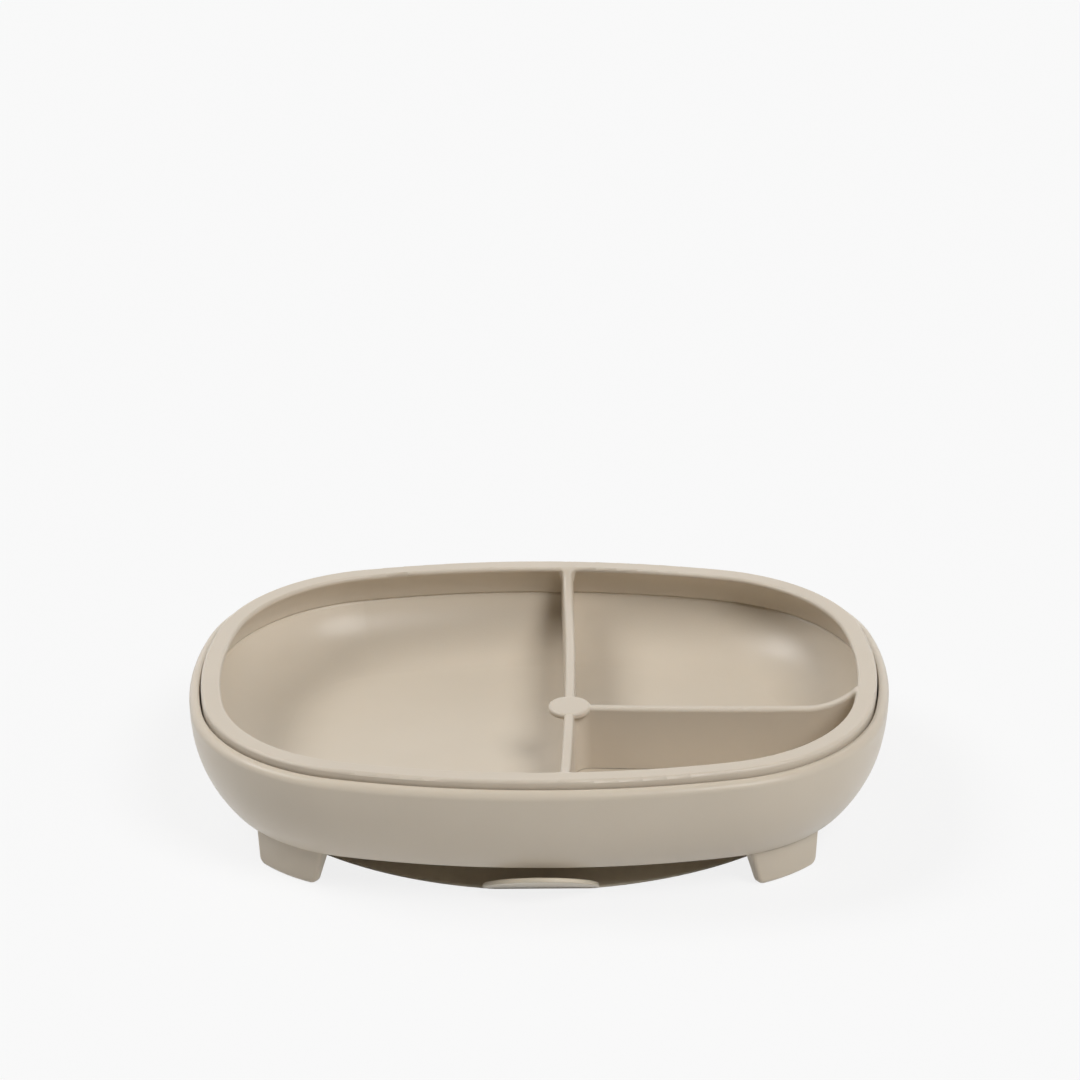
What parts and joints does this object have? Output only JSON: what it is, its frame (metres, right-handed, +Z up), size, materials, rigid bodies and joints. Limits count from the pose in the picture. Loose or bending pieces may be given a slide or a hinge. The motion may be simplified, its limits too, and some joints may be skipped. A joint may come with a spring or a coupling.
{
  "type": "baby suction plate",
  "caption": "Deep oval silicone feeding plate on short feet, with a lift-out rim ring carrying a T-shaped divider and an oval suction cup with a pull tab underneath.",
  "frame": {"origin": "on the table under the middle of the plate's outline, level with the undersides of the feet and of the suction cup's rim", "axes": "+X along the plate's length, to the right as seen from the tab side; +Y across it, away from the pull tab; +Z up out of the bowl"},
  "size_m": [0.225, 0.1716, 0.046],
  "materials": {
    "bowl_silicone": "matte beige food-grade silicone",
    "insert_silicone": "matte beige food-grade silicone",
    "base_silicone": "matte beige soft silicone"
  },
  "bodies": {
    "root": {"plate_body": "bowl_silicone", "divider_insert": "insert_silicone", "suction_base": "base_silicone"}
  },
  "joints": []
}
